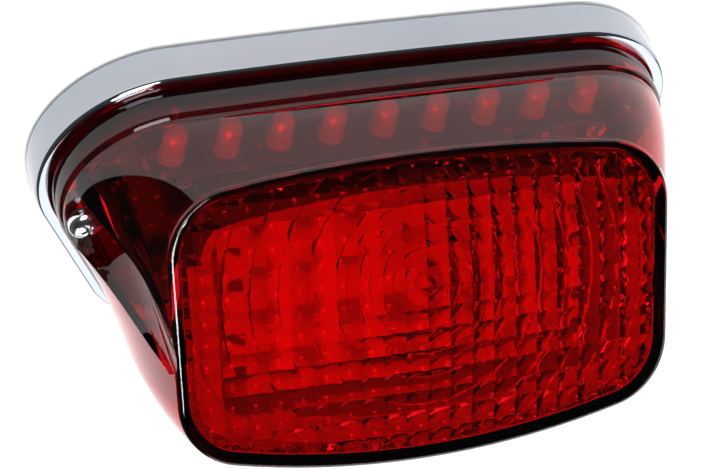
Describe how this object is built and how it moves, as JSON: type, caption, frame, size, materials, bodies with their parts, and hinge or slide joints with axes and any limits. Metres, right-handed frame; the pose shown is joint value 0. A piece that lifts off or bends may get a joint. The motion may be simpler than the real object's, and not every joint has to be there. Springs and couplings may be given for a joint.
{
  "type": "tail light",
  "caption": "Wedge-shaped motorcycle tail light with a chrome base, a deep red lens with a tilted face, side screwdriver pockets and LED boards inside.",
  "frame": {"origin": "middle of the base's bounding rectangle on the mounting face", "axes": "+Z out of the fender through the lens, -Y towards the lens's short wall, X across"},
  "size_m": [0.14, 0.08, 0.0732],
  "materials": {
    "chrome": "polished",
    "rubber": "matte",
    "foam_rubber": "matte",
    "brass": "satin",
    "red_lens": "gloss",
    "screw_chrome": "polished",
    "green_board": "gloss",
    "white_board": "gloss",
    "zinc_steel": "satin",
    "lamp_epoxy": "gloss",
    "red_lamp_epoxy": "gloss",
    "reflector_plastic": "satin",
    "black_plastic": "satin",
    "can_sleeve": "gloss"
  },
  "bodies": {
    "root": {"chrome_base": "chrome", "mounting_gasket": "rubber", "mount_inserts": "brass", "screw_inserts": "brass", "lens_gasket": "foam_rubber", "lens": "red_lens", "lens_screws": "screw_chrome", "screw_washers": "rubber", "main_board": "green_board", "board_screws": "zinc_steel", "plate_led_board": "green_board", "plate_brackets": "zinc_steel", "plate_leds": "lamp_epoxy", "led_carrier": "black_plastic", "carrier_screws": "zinc_steel", "brake_led_board": "white_board", "brake_board_screws": "zinc_steel", "brake_leds": "red_lamp_epoxy", "light_shroud": "reflector_plastic", "resistors": "black_plastic", "regulator": "black_plastic", "regulator_screw": "zinc_steel", "capacitor": "can_sleeve", "diodes": "black_plastic", "connector_socket": "black_plastic", "connector_pins": "brass"}
  },
  "joints": []
}
